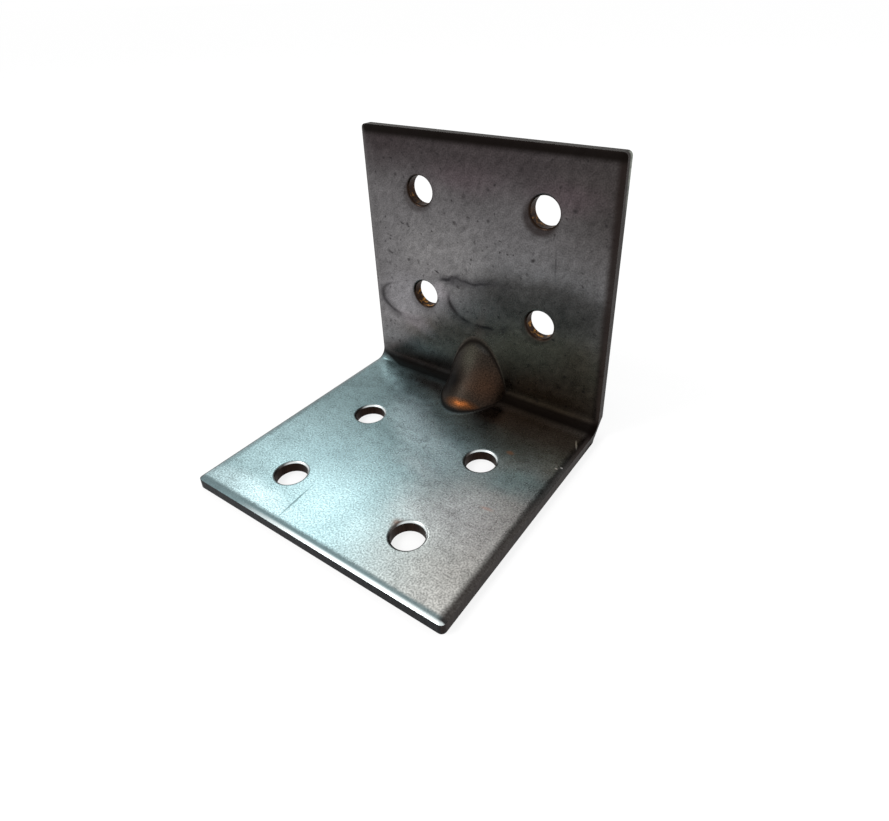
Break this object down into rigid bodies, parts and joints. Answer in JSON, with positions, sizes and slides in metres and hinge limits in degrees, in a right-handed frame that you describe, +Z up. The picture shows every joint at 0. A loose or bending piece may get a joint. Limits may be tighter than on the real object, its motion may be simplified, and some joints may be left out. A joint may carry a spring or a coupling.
{
  "type": "angle bracket",
  "caption": "Folded sheet-steel angle bracket with screw holes in both leaves, stiffened by a round dart pressed into the fold.",
  "frame": {"origin": "On the ground, in the middle of the base leaf's outline (the bounding box's bottom centre).", "axes": "+Z up along the upright leaf, +Y from the base leaf's free edge to the upright leaf's back face, +X along the fold to the right as seen from inside the angle."},
  "size_m": [0.05, 0.049, 0.05],
  "materials": {
    "zinc_coated_steel": "Hot-dip zinc-coated sheet with a fine grain, dull, with handling marks and darker sheared edges."
  },
  "bodies": {
    "root": {"bracket": "zinc_coated_steel"}
  },
  "joints": []
}
